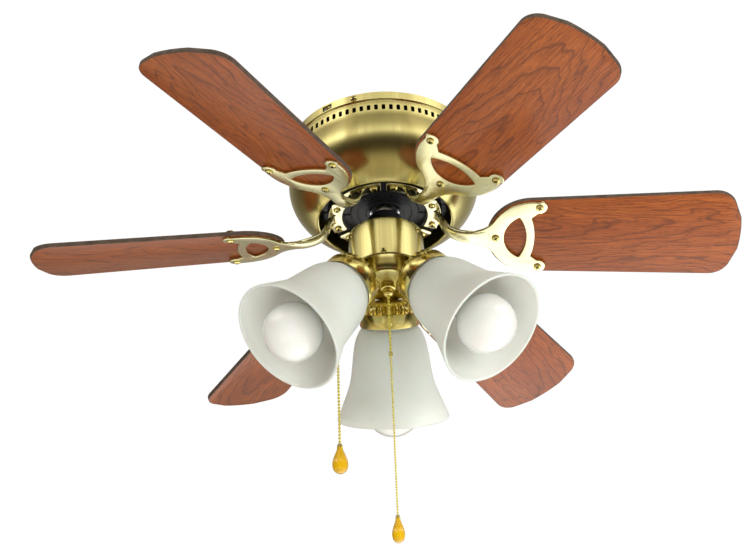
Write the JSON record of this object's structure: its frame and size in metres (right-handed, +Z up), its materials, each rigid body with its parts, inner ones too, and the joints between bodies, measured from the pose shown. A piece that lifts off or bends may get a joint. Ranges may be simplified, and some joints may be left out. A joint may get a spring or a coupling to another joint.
{
  "type": "ceiling fan with light",
  "caption": "Flush-mount ceiling fan with cherry blades on brass irons, a brass motor housing, a light kit of frosted bell shades and bead pull chains.",
  "frame": {"origin": "centre of the ceiling plate's upper face, on the fan's axis", "axes": "+Z up towards the ceiling, +X along the first blade"},
  "size_m": [0.762, 0.6842, 0.477],
  "materials": {
    "ceiling_steel": "zinc plated sheet",
    "brushed_brass": "spun, fine circular brushing, lacquered",
    "cast_brass": "cast, tumbled and plated, satin",
    "bright_brass": "polished small parts",
    "cherry_wood": "cherry veneer, satin lacquer, dark edges",
    "black_paint": "semi-gloss black",
    "core_steel": "stacked laminations",
    "bearing_steel": "ground",
    "copper_winding": "enamelled copper wire",
    "cage_aluminium": "die cast",
    "black_plastic": "moulded",
    "rubber": "moulded grommet",
    "porcelain": "glazed lamp holder",
    "frosted_glass": "frosted, faint green tint",
    "bulb_white": "opal lamp envelope",
    "amber_fob": "cast amber resin"
  },
  "bodies": {
    "root": {"mounting_plate": "ceiling_steel", "motor_hanger": "ceiling_steel", "hanger_grommets": "rubber", "hanger_screws": "ceiling_steel", "housing": "brushed_brass", "housing_screws": "bright_brass", "motor_shaft": "bearing_steel", "stator_core": "core_steel", "stator_windings": "copper_winding", "switch_mount_plate": "black_paint", "switch_housing": "brushed_brass", "switch_housing_screws": "bright_brass", "run_capacitor": "black_plastic", "fan_pull_switch": "black_plastic", "light_pull_switch": "black_plastic", "reverse_switch": "black_plastic", "fan_chain_bushing": "bright_brass", "light_pan": "brushed_brass", "light_pan_nut": "bright_brass", "light_chain_bushing": "bright_brass", "socket_cup_1": "bright_brass", "socket_cup_2": "bright_brass", "socket_cup_3": "bright_brass", "lamp_holder_1": "porcelain", "lamp_holder_2": "porcelain", "lamp_holder_3": "porcelain", "glass_shade_1": "frosted_glass", "glass_shade_2": "frosted_glass", "glass_shade_3": "frosted_glass", "bulb_1": "bulb_white", "bulb_2": "bulb_white", "bulb_3": "bulb_white", "shade_thumbscrews": "bright_brass"},
    "rotor": {"upper_bearing": "bearing_steel", "lower_bearing": "bearing_steel", "rotor_upper_cover": "black_paint", "rotor_lower_cover": "black_paint", "rotor_cage": "cage_aluminium", "blade_iron_1": "cast_brass", "blade_iron_2": "cast_brass", "blade_iron_3": "cast_brass", "blade_iron_4": "cast_brass", "blade_iron_5": "cast_brass", "blade_iron_6": "cast_brass", "blade_1": "cherry_wood", "blade_2": "cherry_wood", "blade_3": "cherry_wood", "blade_4": "cherry_wood", "blade_5": "cherry_wood", "blade_6": "cherry_wood", "iron_screws": "ceiling_steel", "blade_screws": "bright_brass", "blade_nuts": "bright_brass"},
    "light_pull": {"light_chain": "bright_brass", "chain_coupling": "bright_brass", "light_fob": "amber_fob"},
    "fan_pull": {"fan_chain": "bright_brass", "fan_fob": "amber_fob"},
    "reverse_slider": {"reverse_slider": "black_plastic"}
  },
  "joints": [
    {"name": "rotor_spin", "type": "hinge", "parent": "root", "child": "rotor", "pos_m": [0, 0, -0.085], "axis": [0, 0, 1], "continuous": true},
    {"name": "light_pull_slide", "type": "slide", "parent": "root", "child": "light_pull", "axis": [0, 0, -1], "range_m": [0, 0.01], "stiffness_N_per_m": 300, "springref_m": -0.002},
    {"name": "fan_pull_slide", "type": "slide", "parent": "root", "child": "fan_pull", "axis": [0, 0, -1], "range_m": [0, 0.01], "stiffness_N_per_m": 300, "springref_m": -0.002, "deforming": ["fan_chain"]},
    {"name": "reverse_slider_slide", "type": "slide", "parent": "root", "child": "reverse_slider", "axis": [0, 0, 1], "range_m": [0, 0.006]}
  ]
}
